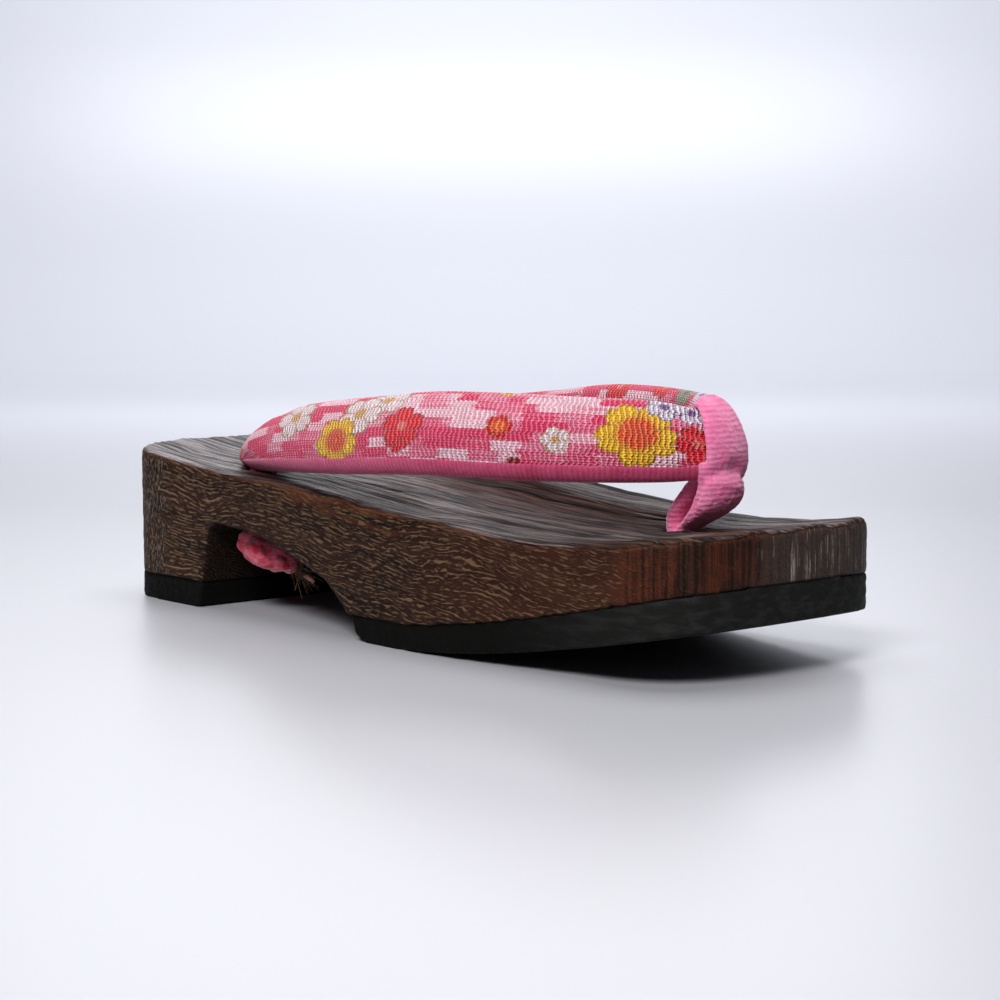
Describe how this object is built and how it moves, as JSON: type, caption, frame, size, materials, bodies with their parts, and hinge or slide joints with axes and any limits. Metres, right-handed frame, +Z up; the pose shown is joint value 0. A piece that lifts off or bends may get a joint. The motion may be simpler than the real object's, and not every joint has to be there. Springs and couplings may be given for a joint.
{
  "type": "geta sandal",
  "caption": "Low wooden thong sandal: carved block with heel, arch and rocker toe, rubber treads, padded printed cloth thong and toe loop.",
  "frame": {"origin": "on the floor, under the middle of the bounding box", "axes": "+X from heel to toe, +Y to the wearer's left, +Z up"},
  "size_m": [0.235, 0.09, 0.0655],
  "materials": {
    "wood": "dark stained, wire brushed, satin",
    "rubber": "matte black",
    "printed_cloth": "pink crepe with a woven blossom pattern",
    "lining_cloth": "pink ribbed velveteen",
    "loop_cloth": "light pink ribbed velveteen"
  },
  "bodies": {
    "root": {"wooden_block": "wood", "heel_rubber": "rubber", "front_rubber": "rubber", "thong": "printed_cloth", "thong_lining": "lining_cloth", "toe_loop": "loop_cloth", "front_knot": "loop_cloth", "rear_knot_right": "printed_cloth", "rear_knot_left": "printed_cloth"}
  },
  "joints": []
}
